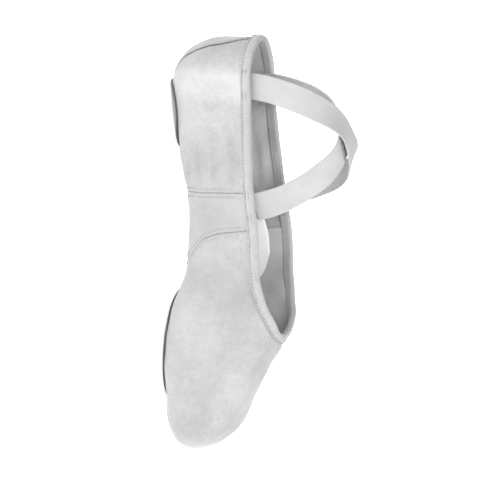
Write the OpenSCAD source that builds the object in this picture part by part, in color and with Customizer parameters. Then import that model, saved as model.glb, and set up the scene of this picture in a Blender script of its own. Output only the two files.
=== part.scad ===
// Split-sole ballet slipper with crossed instep elastics, standing on its two sole patches.
// The toe points along -Y, the heel along +Y and the foot opening faces +Z.
// The right side of the wearer is -X. The origin is under the middle of the slipper, on the floor.

/* [Slipper] */
// Length of the upper from toe tip to heel back
slipper_length = 236; // [226:1:250]
// Width of the upper across the ball of the foot
ball_width = 75; // [70:1:80]
// Height of the throat, where the opening ends over the toes
throat_height = 66.5; // [63:0.5:70]

/* [Materials] */
// Thickness of the outer fabric
outer_t = 0.9; // [0.7:0.1:1.0]
// Thickness of the lining fabric
lining_t = 0.6; // [0.4:0.1:0.6]
// Thickness of the suede sole patches
suede_t = 1.2; // [1.0:0.1:1.4]
// Thickness of the padded insoles
insole_t = 1.9; // [1.5:0.1:2.2]

/* [Topline] */
// Depth of the binding below the edge of the fabric
binding_depth = 3.6; // [3.2:0.2:4.6]
// Diameter of the elastic cord inside the binding
drawcord_d = 1.2; // [1:0.1:1.3]

/* [Elastics] */
// Width of an elastic strap
elastic_w = 15; // [12:1:18]
// Thickness of an elastic strap
elastic_t = 1.1; // [0.9:0.1:1.3]
// Rise of the outer elastic above the topline
elastic_rise = 51; // [46:1:56]

/* [Hidden] */

// The pattern below is drawn for a slipper 236 long, 75 wide and 66.5 high.
// These factors fit it to the sizes asked for.
len_k = slipper_length / 236;
wid_k = ball_width / 75;
hgt_k = throat_height / 66.5;
// Middle of the slipper's length, heel binding included, in pattern units
y_mid = 1.3;

// Landmarks along the foot, in pattern units: the heel turns about heel_y, and the toe cap starts at toe_y.
heel_y = 92;
heel_back = 118;
toe_y = -88;
tip_y = -118.3;
tip_z = 13;
throat_y = -53.2;
throat_start = -15;

// Cross-sections from the heel back to the toe cap: [y, half width, sole height, height of the widest point,
// lower and upper roundness, half width and height of the topline].
// Between heel_back and heel_y a section is a vertical slice through the heel's turning axis.
// In front of the throat the last two say that the section is closed and how high its ridge is.
sections = [
    [118, 27.5, 1.4, 31.0, 2.0, 2.4, 26.8, 54.4],
    [105, 26.0, 1.4, 27.0, 1.9, 2.3, 23.6, 53.6],
    [ 92, 24.0, 1.4, 24.5, 1.85, 2.2, 21.3, 53.2],
    [ 72, 25.0, 3.6, 26.0, 1.9, 2.1, 22.8, 54.2],
    [ 50, 27.0, 8.6, 27.0, 2.3, 2.0, 25.9, 55.6],
    [ 28, 29.5, 14.0, 31.0, 2.4, 2.0, 28.6, 57.5],
    [  6, 32.2, 15.4, 31.5, 2.5, 2.0, 29.8, 60.6],
    [-15, 34.7, 13.4, 31.0, 2.5, 2.0, 29.8, 61.4],
    [-30, 36.2, 7.0, 27.5, 2.5, 2.0, 26.5, 63.5],
    [-42, 36.8, 2.2, 25.5, 2.2, 2.0, 19.0, 66.5],
    [-53.2, 37.5, 1.0, 24.0, 2.4, 2.0, 0, 66.5],
    [-72, 37.2, 1.0, 21.5, 2.6, 2.0, 0, 55.8],
    [-88, 33.7, 1.2, 20.0, 2.6, 2.0, 0, 47.4]
];
last_row = len(sections) - 1;
// Change of a section per unit of y, none at the heel back, where the two sides meet.
slopes = [for (i = [0:last_row])
    let (a = max(i - 1, 0), b = min(i + 1, last_row))
    (sections[b] - sections[a]) / (sections[b][0] - sections[a][0]) * (i == 0 ? 0 : 1)];

function row_before(y, i = 0) = i >= last_row - 1 || y >= sections[i + 1][0] ? i : row_before(y, i + 1);

// One smooth section anywhere between heel_back and toe_y.
function section(y) =
    let (i = row_before(y), a = sections[i], b = sections[i + 1], h = b[0] - a[0], t = (y - a[0]) / h)
    a * (2 * pow(t, 3) - 3 * t * t + 1) + slopes[i] * h * (pow(t, 3) - 2 * t * t + t)
    + b * (3 * t * t - 2 * pow(t, 3)) + slopes[i + 1] * h * (pow(t, 3) - t * t);

// Half width of the opening: from the sections behind throat_start, and a rounded nose in front of it.
function opening(y, s) =
    y >= throat_start ? s[6]
    : y <= throat_y ? 0
    : section(throat_start)[6] * pow(1 - pow((throat_start - y) / (throat_start - throat_y), 2), 0.6);

// How far the toe cap has closed at y, from 1 at its start to 0 at the tip.
function closing(y, roundness) = sqrt(max(0, 1 - pow(max(0, toe_y - y) / (toe_y - tip_y), roundness)));

// [half width, heights of the sole, the widest point and the ridge, lower and upper roundness,
//  half width of the opening]
function shape(y) =
    let (
        s = section(max(y, toe_y)),
        x_open = opening(y, s),
        up = sqrt(1 - pow(min(0.98, x_open / s[1]), s[5])),
        ridge = s[3] + (s[7] - s[3]) / pow(up, 2 / s[5]),
        past = max(0, toe_y - y)
    )
    [
        (s[1] + 0.1 * past) * closing(y, 2.1),
        tip_z - (tip_z - s[2]) * closing(y, 2.4),
        tip_z + (s[3] - tip_z) * closing(y, 2),
        tip_z + (ridge - 0.5 * past - tip_z) * closing(y, 4.3),
        s[4], s[5], x_open
    ];

// Point of the outer fabric's face at station y and girth angle g: 0 under the foot, 90 at the widest height
// and 180 on the ridge. A negative angle is on the wearer's right.
// Past heel_back a station carries on round the heel to the other side.
function face(y, g) =
    abs(g) > 180 ? face(y, g - 360 * sign(g))
    : y > heel_back ? face(2 * heel_back - y, -g)
    :
    let (
        s = shape(y),
        t = abs(g) - 90,
        n = t < 0 ? s[4] : s[5],
        r = s[0] * pow(abs(cos(t)), 2 / n),
        rise = pow(abs(sin(t)), 2 / n),
        z = t < 0 ? s[2] - (s[2] - s[1]) * rise : s[2] + (s[3] - s[2]) * rise,
        turn = 90 * max(0, y - heel_y) / (heel_back - heel_y)
    )
    [sign(g) * r * cos(turn) * wid_k, (min(y, heel_y) + r * sin(turn) - y_mid) * len_k, z * hgt_k];

// Outward direction of that face.
function outward(y, g) =
    let (
        e = 0.4,
        a = face(y + e, g) - face(y - e, g),
        b = face(y, g + e) - face(y, g - e),
        n = cross(a, b)
    )
    n / norm(n);

// Point at a depth d off the outer fabric's face, positive outwards.
function off_face(y, g, d) = face(y, g) + outward(y, g) * d;

// Girth angle of the fabric's top edge.
function top_angle(y) =
    y <= throat_y ? 180
    : let (s = shape(heel_back - abs(heel_back - y)))
        90 + acos(pow(s[6] / s[0], s[5] / 2));

// The two seams of the arch insert, as stations at w, which is 0 under the foot and 1 at the topline.
seam_gap = 0.3;
function rear_seam(w) = 31 - 1.3 * w * w;
// It runs nearly level down from the topline, turns a soft corner and slopes towards the sole.
function front_seam(w) =
    let (d = max(0, 0.87 - abs(w)), s = d * d / (d + 0.04))
    9.4 - 14 * (1 - abs(w)) - 7.8 * (1 - exp(-s / 0.16));

// ---- solids made from grids of points ----

// Closed shell between two grids of the same size. A wrapped grid closes on itself along its rows,
// and a tip pair closes the end of a wrapped grid at one point of each face.
module shell(outer, inner, wrapped = false, tips = []) {
    rows = len(outer);
    cols = len(outer[0]);
    size = rows * cols;
    last = wrapped ? cols - 1 : cols - 2;
    points = concat([for (r = outer) each r], [for (r = inner) each r], tips);
    function at(i, j) = i * cols + j % cols;
    both = [for (i = [0:rows - 2], j = [0:last])
        each [
            [at(i, j), at(i + 1, j), at(i + 1, j + 1)], [at(i, j), at(i + 1, j + 1), at(i, j + 1)],
            [size + at(i, j), size + at(i + 1, j + 1), size + at(i + 1, j)],
            [size + at(i, j), size + at(i, j + 1), size + at(i + 1, j + 1)]
        ]];
    rims = [for (j = [0:last])
        each concat(
            [[at(0, j), at(0, j + 1), size + at(0, j + 1)], [at(0, j), size + at(0, j + 1), size + at(0, j)]],
            len(tips) > 0 ? [
                [at(rows - 1, j), 2 * size, at(rows - 1, j + 1)],
                [size + at(rows - 1, j), size + at(rows - 1, j + 1), 2 * size + 1]
            ] : [
                [at(rows - 1, j), size + at(rows - 1, j + 1), at(rows - 1, j + 1)],
                [at(rows - 1, j), size + at(rows - 1, j), size + at(rows - 1, j + 1)]
            ])];
    ends = wrapped ? [] : [for (i = [0:rows - 2])
        each [
            [at(i, 0), size + at(i + 1, 0), at(i + 1, 0)], [at(i, 0), size + at(i, 0), size + at(i + 1, 0)],
            [at(i, cols - 1), at(i + 1, cols - 1), size + at(i + 1, cols - 1)],
            [at(i, cols - 1), size + at(i + 1, cols - 1), size + at(i, cols - 1)]
        ]];
    polyhedron(points, concat(both, rims, ends), convexity = 6);
}

// Solid swept through a list of equal closed outlines, joined end to end when it is a ring.
module sweep(outlines, ring = false) {
    rows = len(outlines);
    cols = len(outlines[0]);
    function at(i, j) = (i % rows) * cols + j % cols;
    sides = [for (i = [0:ring ? rows - 1 : rows - 2], j = [0:cols - 1])
        each [[at(i, j), at(i + 1, j + 1), at(i, j + 1)], [at(i, j), at(i + 1, j), at(i + 1, j + 1)]]];
    caps = ring ? [] : [
        [for (j = [0:cols - 1]) at(0, j)],
        [for (j = [cols - 1:-1:0]) at(rows - 1, j)]
    ];
    polyhedron([for (o = outlines) each o], concat(sides, caps), convexity = 6);
}

// Layer of fabric laid on a grid of [station, angle] pairs, from depth top down to depth top - thick.
module layer(grid, top, thick) {
    shell([for (r = grid) [for (p = r) off_face(p[0], p[1], top)]],
          [for (r = grid) [for (p = r) off_face(p[0], p[1], top - thick)]]);
}

// ---- depths of the layers under the outer face ----
layer_gap = 0.2;
lining_top = -outer_t - layer_gap;
inside_top = lining_top - lining_t - 0.4;

// ---- quarters ----

// The back seam sits to the right of the middle of the heel and slants towards it at the topline.
// w is 0 at the sole and 1 at the topline.
function back_seam(w) = heel_back - 12 + 10 * pow(w, 5);
quarter_rows = 18;
quarter_cols = 14;
heel_low = 15.3;
// Grid of a quarter, for side -1 or 1, that stops a gap short of the back seam
// and reaches forward past the rear seam of the arch.
// Its lower edge runs to the middle of the sole and opens under the heel patch.
function quarter_grid(side, gap, forward) = [for (i = [0:quarter_rows]) [for (j = [0:quarter_cols])
    let (
        k = side < 0 ? j : quarter_cols - j,
        w = k / quarter_cols,
        front = rear_seam(w) + seam_gap / 2 - forward,
        back = heel_back + side * (heel_back - back_seam(w)) - gap,
        half = quarter_rows / 2,
        y = i <= half ? front + (heel_y - front) * i / half : heel_y + (back - heel_y) * (i - half) / half,
        low = 0.3 + (heel_low - 0.3) * pow(max(0, min(1, (y - 58) / 30)), 2)
    )
    [y, side * (low + (top_angle(y) - low) * w)]]];
lining_forward = 6.5;

module right_quarter() { color([0.92, 0.92, 0.93]) layer(quarter_grid(-1, 0.1, 0), 0, outer_t); }
module left_quarter() { color([0.92, 0.92, 0.93]) layer(quarter_grid(1, 0.1, 0), 0, outer_t); }
module right_quarter_lining() {
    color([0.78, 0.78, 0.78]) layer(quarter_grid(-1, 0.2, lining_forward), lining_top, lining_t);
}
module left_quarter_lining() {
    color([0.78, 0.78, 0.78]) layer(quarter_grid(1, 0.2, lining_forward), lining_top, lining_t);
}

// Tape over the inside of the back seam.
module back_seam_tape() {
    low = 62;
    top = top_angle(back_seam(1));
    high = top - 11;
    grid = [for (c = [-3:3]) [for (k = [0:10])
        let (g = low + (high - low) * k / 10)
        [back_seam((g - heel_low) / (top - heel_low)) + 0.9 * c, -g]]];
    color([0.86, 0.86, 0.86]) layer(grid, inside_top, 0.5);
}

// ---- arch ----

module arch_insert() {
    grid = [for (i = [0:7]) [for (k = [12:-1:-12])
        let (
            w = k / 12,
            a = front_seam(w) + seam_gap / 2,
            b = rear_seam(w) - seam_gap / 2,
            y = a + (b - a) * i / 7
        )
        [y, w == 0 ? 0 : w * top_angle(y)]]];
    color([0.88, 0.88, 0.89]) layer(grid, 0, outer_t);
}

// Soft cover over both seams of the insert, with its upper edges under the binding and rounded front corners.
module arch_lining() {
    back = 24;
    front = -25;
    corner = 20;
    grid = [for (i = [0:11]) [for (k = [12:-1:-12])
        let (
            w = k / 12,
            a = front + corner * pow(abs(w), 16),
            y = a + (back - a) * i / 11
        )
        [y, w * (top_angle(y) - 8)]]];
    color([0.93, 0.93, 0.93]) layer(grid, inside_top - 0.2, 0.5);
}

// ---- vamp ----

vamp_rows = 16;
seam_steps = 12;
edge_steps = 12;
// Rear edge of the vamp on one side, from under the foot up the front seam
// and along the topline to the throat.
function vamp_edge() = concat(
    [for (k = [0:seam_steps])
        let (w = k / seam_steps, y = front_seam(w) - seam_gap / 2) [y, w * top_angle(y)]],
    [for (k = [1:3])
        let (y = front_seam(1) + (throat_start - front_seam(1)) * k / 3) [y, top_angle(y)]],
    [for (k = [1:edge_steps - 3])
        let (y = throat_start + (throat_y - throat_start) * sin(90 * k / (edge_steps - 3))) [y, top_angle(y)]]
);
// Ring of [station, angle] pairs: the left side going up, then the right side coming down.
function vamp_ring(f) =
    let (
        edge = vamp_edge(),
        n = len(edge) - 1,
        side = [for (j = [0:n])
            let (even = 180 * j / n, share = min(1, f * 1.6))
            [edge[j][0] + (tip_y - edge[j][0]) * f, edge[j][1] * (1 - share) + even * share]]
    )
    concat(side, [for (j = [n - 1:-1:1]) [side[j][0], -side[j][1]]]);

module vamp_layer(top, thick) {
    fractions = [for (i = [0:vamp_rows - 1]) 0.985 * (1 - pow(1 - i / (vamp_rows - 1), 1.4))];
    rings = [for (f = fractions) vamp_ring(f)];
    tip = [0, (tip_y - y_mid) * len_k, tip_z * hgt_k];
    shell([for (r = rings) [for (p = r) off_face(p[0], p[1], top)]],
          [for (r = rings) [for (p = r) off_face(p[0], p[1], top - thick)]],
          wrapped = true, tips = [tip - [0, top, 0], tip - [0, top - thick, 0]]);
}
module vamp() { color([0.9, 0.9, 0.91]) vamp_layer(0, outer_t); }
module vamp_lining() { color([0.76, 0.76, 0.76]) vamp_layer(lining_top, lining_t); }

// ---- sole patches and insoles ----

// Point off the underside of the upper, straight above or below (x, y) in pattern units.
function under_face(x, y, d) =
    let (
        past = max(0, y - heel_y),
        r = norm([x, past]),
        station = past > 0 ? heel_y + (heel_back - heel_y) * atan2(past, abs(x)) / 90 : y,
        s = shape(station),
        angle = 90 - acos(pow(min(0.999, r / s[0]), s[4] / 2))
    )
    off_face(station, (x < 0 ? -1 : 1) * max(0.02, angle), d);

// Oval pad on the underside between two depths. Its face never reaches below the floor.
module pad(y_front, y_back, half_w, top, bottom, squareness) {
    rows = 18;
    middle = (y_front + y_back) / 2;
    half_l = (y_back - y_front) / 2;
    grid = [for (i = [0:rows])
        let (a = -82 + 164 * i / rows, w = half_w * pow(cos(a), 2 / squareness))
        [for (j = [-4:4]) [j == 0 ? 0.001 : w * sin(22.5 * j), middle + half_l * sin(a)]]];
    function level(p) = [p[0], p[1], p[2] < 0.25 ? 0 : p[2]];
    shell([for (r = grid) [for (p = r) under_face(p[0], p[1], top)]],
          [for (r = grid) [for (p = r) level(under_face(p[0], p[1], bottom))]]);
}

patch_gap = 0.25;
module heel_sole_patch() {
    color([0.62, 0.62, 0.61]) pad(56, 96, 17.5, patch_gap, patch_gap + suede_t, 2.3);
}
module forefoot_sole_patch() {
    color([0.62, 0.62, 0.61]) pad(-89, -23, 27, patch_gap, patch_gap + suede_t, 2.6);
}
module heel_insole() {
    color([0.84, 0.84, 0.82]) pad(40, 109, 17.5, inside_top - insole_t, inside_top, 2.4);
}
module forefoot_insole() {
    color([0.84, 0.84, 0.82]) pad(-106, -29, 28, inside_top - insole_t, inside_top, 2.4);
}

// ---- topline ----

// Stations of the topline on one side, from the throat to the heel back.
function edge_stations() = concat(
    [for (k = [9:-1:1]) throat_start + (throat_y - throat_start) * sin(90 * k / 9)],
    [for (k = [0:13]) throat_start + (heel_y - throat_start) * k / 14],
    [for (k = [0:8]) heel_y + (heel_back - heel_y) * k / 8]
);
// [point, outward, upward, station and angle per unit of length down the fabric] at a place on the topline.
function edge_frame(y) =
    let (
        e = 0.02,
        lo = max(throat_y + 0.0001, y - e),
        hi = min(heel_back, y + e),
        p = face(y, top_angle(y)),
        along = y <= throat_y + 0.01 ? [1, 0, 0] : y >= heel_back - 0.01 ? [-1, 0, 0]
            : unit(face(hi, top_angle(hi)) - face(lo, top_angle(lo))),
        n = outward(y, top_angle(y)),
        up = unit(cross(n, along)),
        py = (face(y + 0.2, top_angle(y)) - face(y - 0.2, top_angle(y))) / 0.4,
        pg = (face(y, top_angle(y) + 0.2) - face(y, top_angle(y) - 0.2)) / 0.4,
        down = [pg * along, -(py * along)],
        step = py * down[0] + pg * down[1],
        k = (step * up > 0 ? -1 : 1) / norm(step)
    )
    [p, n, up, [y, top_angle(y)], down * k];
function unit(v) = v / norm(v);

// Point of the topline's cross-section: d outwards and h upwards from the fabric's edge.
// Below the edge it follows the fabric.
function edge_point(frame, d, h) =
    h > 0 ? frame[0] + frame[1] * d + frame[2] * h
    : let (q = frame[3] - frame[4] * h) off_face(q[0], q[1], d);

// Outlines of a ring that follows the whole topline with one cross-section of [d, h] pairs.
function edge_ring(cross_section) =
    let (
        frames = [for (y = edge_stations()) edge_frame(y)],
        left = [for (f = frames) [for (c = cross_section) edge_point(f, c[0], c[1])]],
        n = len(left)
    )
    concat([for (f = left) [for (p = f) [-p[0], p[1], p[2]]]], [for (i = [n - 2:-1:1]) left[i]]);

binding_t = 0.6;
binding_out = 0.4;
binding_in = inside_top - 0.1;
cord_rise = drawcord_d / 2 + 0.2;
crown = cord_rise + drawcord_d / 2 + 0.1;
middle_d = (binding_out + binding_in) / 2;
half_gap = (binding_out - binding_in) / 2;

// Cross-section of the binding: an upside-down U that holds the fabric's edge and the cord.
function arch_of(half, rise, n, dir) = [for (k = [0:n])
    let (a = dir > 0 ? 180 * k / n : 180 - 180 * k / n)
        [middle_d + half * cos(a), 0.3 + (rise - 0.3) * sin(a)]];
binding_section = concat(
    [[binding_out + binding_t, -binding_depth], [binding_out + binding_t, -binding_depth / 2]],
    arch_of(half_gap + binding_t, crown + binding_t, 8, 1),
    [[binding_in - binding_t, -binding_depth / 2], [binding_in - binding_t, -binding_depth]],
    [[binding_in, -binding_depth], [binding_in, -binding_depth / 2]],
    arch_of(half_gap, crown, 6, -1),
    [[binding_out, -binding_depth / 2], [binding_out, -binding_depth]]
);

module topline_binding() { color([0.93, 0.93, 0.93]) sweep(edge_ring(binding_section), ring = true); }

module drawcord() {
    circle_section = [for (k = [0:7])
        [middle_d + drawcord_d / 2 * cos(45 * k), cord_rise + drawcord_d / 2 * sin(45 * k)]];
    color([0.95, 0.95, 0.93]) sweep(edge_ring(circle_section), ring = true);
}

thread_w = 0.5;
module binding_thread() {
    d = binding_out + binding_t + 0.25;
    h = -binding_depth + 0.8;
    section = [[d, h - thread_w], [d + thread_w, h - thread_w], [d + thread_w, h], [d, h]];
    color([0.8, 0.8, 0.8]) sweep(edge_ring(section), ring = true);
}

// ---- seam threads ----

// One row of stitching along the arch, from topline to topline, shift in front of or behind a seam.
module thread_row(station_at, shift) {
    low = 0.35;
    outlines = [for (k = [-20:20])
        let (
            w = 0.91 * k / 20,
            y = station_at(w) + shift,
            g = k == 0 ? 0.001 : w * top_angle(y)
        )
        [
            off_face(y, g, low), off_face(y, g, low + thread_w),
            off_face(y + thread_w, g, low + thread_w), off_face(y + thread_w, g, low)
        ]];
    sweep(outlines);
}
row_offset = 2;
module rear_seam_threads() {
    color([0.8, 0.8, 0.8]) {
        thread_row(function (w) rear_seam(w), row_offset);
        thread_row(function (w) rear_seam(w), -row_offset - thread_w);
    }
}
module front_seam_threads() {
    color([0.8, 0.8, 0.8]) {
        thread_row(function (w) front_seam(w), row_offset);
        thread_row(function (w) front_seam(w), -row_offset - thread_w);
    }
}

// ---- elastics ----

strap_rear_y = 90;
strap_front_y = 22.5;
strap_inset = 5.4;
strap_tail = 6;
strap_lean = 0.14;
heel_fullness = [2.1, 0.8];
arch_fullness = [2.6, 1.1];
strap_steps = 24;

// Ends of the outer elastic's middle line at the topline: right side at the heel, left side at the arch.
function strap_end(y, side) =
    let (p = face(y, top_angle(y))) [side * (p[0] - strap_inset * wid_k), p[1], p[2]];
heel_end = strap_end(strap_rear_y, -1);
arch_end = strap_end(strap_front_y, 1);
crossing = [0, (59.5 - y_mid) * len_k, (heel_end[2] + arch_end[2]) / 2];

// Middle line of the outer elastic at angle a: 0 at the heel end, 90 at the crossing and 180 at the arch end.
function strap_line(a, rise) =
    let (
        n = a < 90 ? heel_fullness : arch_fullness,
        t = abs(cos(a)),
        up = pow(max(0, 1 - pow(t, n[0])), n[1])
    )
    crossing + ((a < 90 ? heel_end : arch_end) - crossing) * t + [0, 0, up * rise];

// Row across the elastic at angle a: the width runs along the foot at the sewn ends and level on top.
function strap_row(a, rise, depth) =
    let (
        p = strap_line(a, rise),
        e = 1.5,
        along = unit(strap_line(min(180, a + e), rise) - strap_line(max(0, a - e), rise)),
        part = min(1, max(0, (1.05 - abs(cos(a))) / 1.3)),
        turn = part * part * (3 - 2 * part),
        w0 = [0, 1, 0] * (1 - turn) + unit([-along[1], along[0], 0]) * turn,
        w = unit(w0 - along * (w0 * along)),
        n = unit(cross(along, w))
    )
    [for (j = [-1:1]) p + w * (j * elastic_w / 2) + n * depth];

// Both elastics lean: their tops drop on the right and rise on the left, where they also sit nearer the heel.
// side is -1 on a mirrored elastic.
function leaning(p, side) =
    let (
        x = side * p[0],
        t = min(1, max(0, (p[2] - crossing[2]) / 41)),
        h = min(1, max(0, (p[2] - crossing[2]) / 51)),
        front = min(1, max(0, (crossing[1] - p[1]) / 20)),
        lean = (strap_lean * x + 0.006 * pow(max(0, x), 2)) * t * t * (3 - 2 * t)
    )
    p + [0, heelward(p, max(0, x)) + 0.55 * x * h * (1 - h) * front, lean];
function heelward(p, left) = left * (0.11 + 0.0006 * (crossing[1] - p[1]));

// Whole elastic, with a straight tail below the topline at each end.
module elastic(rise, side) {
    function tail(row) = [for (p = row) p - [0, 0, strap_tail]];
    function rows(depth) =
        let (arch = [for (k = [0:strap_steps])
            [for (p = strap_row(180 * k / strap_steps, rise, depth)) leaning(p, side)]])
        concat([tail(arch[0])], arch, [tail(arch[strap_steps])]);
    shell(rows(-elastic_t / 2), rows(elastic_t / 2));
}
strap_spacing = 4;
module outer_elastic() { color([0.96, 0.96, 0.96]) elastic(elastic_rise, 1); }
module inner_elastic() {
    color([0.96, 0.96, 0.96]) mirror([1, 0, 0]) elastic(elastic_rise - strap_spacing, -1);
}

// Short bars of thread that hold each end of each elastic through the binding.
module elastic_bartacks() {
    bar_w = 1.2;
    d = binding_out + binding_t + 0.2;
    low = -binding_depth + 1;
    module bar(y) {
        a = edge_frame(y - bar_w / 2);
        b = edge_frame(y + bar_w / 2);
        function outline(f) = [
            edge_point(f, d, low), edge_point(f, d + 0.5, low),
            edge_point(f, d + 0.5, -0.1), edge_point(f, d, -0.1)
        ];
        sweep([outline(b), outline(a)]);
    }
    color([0.8, 0.8, 0.8])
        for (end = [[strap_rear_y, heel_end], [strap_front_y, arch_end]], s = [-1, 1]) {
            y = end[0] + s * (elastic_w / 2 - 1);
            bar(y + heelward(end[1], abs(end[1][0])));
            mirror([1, 0, 0]) bar(y);
        }
}

right_quarter();
left_quarter();
right_quarter_lining();
left_quarter_lining();
back_seam_tape();
heel_sole_patch();
heel_insole();
arch_insert();
arch_lining();
topline_binding();
drawcord();
binding_thread();
rear_seam_threads();
front_seam_threads();
outer_elastic();
inner_elastic();
elastic_bartacks();
vamp();
vamp_lining();
forefoot_sole_patch();
forefoot_insole();
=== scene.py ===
import math

import bpy
import numpy as np
from mathutils import Matrix, Vector


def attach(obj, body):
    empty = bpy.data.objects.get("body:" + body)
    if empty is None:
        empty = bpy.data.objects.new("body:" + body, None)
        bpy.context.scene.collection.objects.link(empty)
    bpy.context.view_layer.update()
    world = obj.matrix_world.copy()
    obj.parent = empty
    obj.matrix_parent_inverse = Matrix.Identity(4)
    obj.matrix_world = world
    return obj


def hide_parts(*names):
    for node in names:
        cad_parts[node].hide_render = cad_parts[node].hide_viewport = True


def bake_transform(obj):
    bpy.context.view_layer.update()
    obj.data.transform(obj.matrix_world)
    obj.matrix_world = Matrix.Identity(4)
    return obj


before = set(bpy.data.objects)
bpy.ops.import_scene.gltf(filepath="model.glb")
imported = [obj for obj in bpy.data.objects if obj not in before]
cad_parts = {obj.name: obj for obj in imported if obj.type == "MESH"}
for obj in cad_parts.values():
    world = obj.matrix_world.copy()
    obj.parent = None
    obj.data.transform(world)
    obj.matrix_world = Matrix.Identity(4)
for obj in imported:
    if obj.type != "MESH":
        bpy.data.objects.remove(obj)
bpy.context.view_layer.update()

MM = 0.001
UV_SPAN = 300.0  # millimetres of cloth that one UV unit covers

# ---- the foot shape, in millimetres

Y_MID = 1.3
HEEL_Y, HEEL_BACK = 92.0, 118.0
TOE_Y, TIP_Y, TIP_Z = -88.0, -118.3, 13.0
THROAT_Y, THROAT_START = -53.2, -15.0
# [y, half width, sole height, height of the widest point, lower and upper roundness,
#  half width and height of the topline]
SECTIONS = np.array([
    [118, 27.5, 1.4, 31.0, 2.0, 2.4, 26.8, 54.4],
    [105, 26.0, 1.4, 27.0, 1.9, 2.3, 23.6, 53.6],
    [92, 24.0, 1.4, 24.5, 1.85, 2.2, 21.3, 53.2],
    [72, 25.0, 3.6, 26.0, 1.9, 2.1, 22.8, 54.2],
    [50, 27.0, 8.6, 27.0, 2.3, 2.0, 25.9, 55.6],
    [28, 29.5, 14.0, 31.0, 2.4, 2.0, 28.6, 57.5],
    [6, 32.2, 15.4, 31.5, 2.5, 2.0, 29.8, 60.6],
    [-15, 34.7, 13.4, 31.0, 2.5, 2.0, 29.8, 61.4],
    [-30, 36.2, 7.0, 27.5, 2.5, 2.0, 26.5, 63.5],
    [-42, 36.8, 2.2, 25.5, 2.2, 2.0, 19.0, 66.5],
    [-53.2, 37.5, 1.0, 24.0, 2.4, 2.0, 0, 66.5],
    [-72, 37.2, 1.0, 21.5, 2.6, 2.0, 0, 55.8],
    [-88, 33.7, 1.2, 20.0, 2.6, 2.0, 0, 47.4],
])
LAST = len(SECTIONS) - 1
SLOPES = np.array([
    (SECTIONS[min(i + 1, LAST)] - SECTIONS[max(i - 1, 0)])
    / (SECTIONS[min(i + 1, LAST)][0] - SECTIONS[max(i - 1, 0)][0])
    for i in range(LAST + 1)
])
SLOPES[0] = 0  # so that the two sides meet smoothly behind the heel


def section(y):
    """Row of SECTIONS at station y, on a smooth curve through the given rows."""
    y = np.asarray(y, float)
    i = np.clip(np.searchsorted(-SECTIONS[:, 0], -y, side="right") - 1, 0, LAST - 1)
    a, b = SECTIONS[i], SECTIONS[i + 1]
    h = (b[..., 0] - a[..., 0])[..., None]
    t = (y - a[..., 0])[..., None] / h
    return (a * (2 * t**3 - 3 * t**2 + 1) + SLOPES[i] * h * (t**3 - 2 * t**2 + t)
            + b * (3 * t**2 - 2 * t**3) + SLOPES[i + 1] * h * (t**3 - t**2))


NOSE_WIDTH = section(THROAT_START)[6]


def closing(y, roundness):
    """Share of the size that is left at station y, from 1 at TOE_Y down to 0 at the tip."""
    e = np.clip((TOE_Y - y) / (TOE_Y - TIP_Y), 0, None)
    return np.sqrt(np.clip(1 - e**roundness, 0, None))


def shape(y):
    """Half width, sole, widest and ridge heights, lower and upper roundness, half width of the opening."""
    s = section(np.maximum(y, TOE_Y))
    nose = np.clip((THROAT_START - y) / (THROAT_START - THROAT_Y), 0, 1)
    x_open = np.where(y >= THROAT_START, s[..., 6], NOSE_WIDTH * (1 - nose**2) ** 0.6)
    x_open = np.where(y <= THROAT_Y, 0, x_open)
    up = np.sqrt(1 - np.minimum(0.98, x_open / s[..., 1]) ** s[..., 5])
    ridge = s[..., 3] + (s[..., 7] - s[..., 3]) / up ** (2 / s[..., 5])
    past = np.maximum(0, TOE_Y - y)
    return ((s[..., 1] + 0.1 * past) * closing(y, 2.1),
            TIP_Z - (TIP_Z - s[..., 2]) * closing(y, 2.4),
            TIP_Z + (s[..., 3] - TIP_Z) * closing(y, 2),
            TIP_Z + (ridge - 0.5 * past - TIP_Z) * closing(y, 4.3),
            s[..., 4], s[..., 5], x_open)


def face(y, g):
    """Point of the upper's outer face at station y and girth angle g in degrees.

    The angle is 0 under the foot and 180 on top, negative on the wearer's right. A station past HEEL_BACK
    goes on round the heel to the other side.
    """
    y, g = np.broadcast_arrays(np.asarray(y, float), np.asarray(g, float))
    g = np.where(np.abs(g) > 180, g - 360 * np.sign(g), g)
    past_back = y > HEEL_BACK
    g = np.where(past_back, -g, g)
    y = np.where(past_back, 2 * HEEL_BACK - y, y)
    half, sole, wide, ridge, low_n, up_n, _ = shape(y)
    t = np.radians(np.abs(g) - 90)
    n = np.where(t < 0, low_n, up_n)
    r = half * np.abs(np.cos(t)) ** (2 / n)
    rise = np.abs(np.sin(t)) ** (2 / n)
    z = np.where(t < 0, wide - (wide - sole) * rise, wide + (ridge - wide) * rise)
    turn = np.radians(90 * np.maximum(0, y - HEEL_Y) / (HEEL_BACK - HEEL_Y))
    return np.stack([np.sign(g) * r * np.cos(turn), np.minimum(y, HEEL_Y) + r * np.sin(turn) - Y_MID, z], -1)


def unit(v):
    return v / np.maximum(np.linalg.norm(v, axis=-1, keepdims=True), 1e-9)


def outward(y, g, e=0.4):
    return unit(np.cross(face(y + e, g) - face(y - e, g), face(y, g + e) - face(y, g - e)))


def off_face(y, g, d):
    """Point d mm outside the outer face."""
    return face(y, g) + outward(y, g) * np.asarray(d)[..., None]


def top_angle(y):
    """Girth angle of the topline at station y."""
    y = np.asarray(y, float)
    folded = HEEL_BACK - np.abs(HEEL_BACK - y)
    half, _, _, _, _, up_n, x_open = shape(folded)
    ratio = np.clip(x_open / np.maximum(half, 1e-6), 0, 1)
    return np.where(y <= THROAT_Y, 180.0, 90 + np.degrees(np.arccos(ratio ** (up_n / 2))))


HEEL_LOW = 15.3  # girth angle at which the back seam leaves the sole
SEAM_GAP = 0.16
ROW_OFFSET = 2.0  # from a seam to the dip beside its row of stitching


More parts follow.
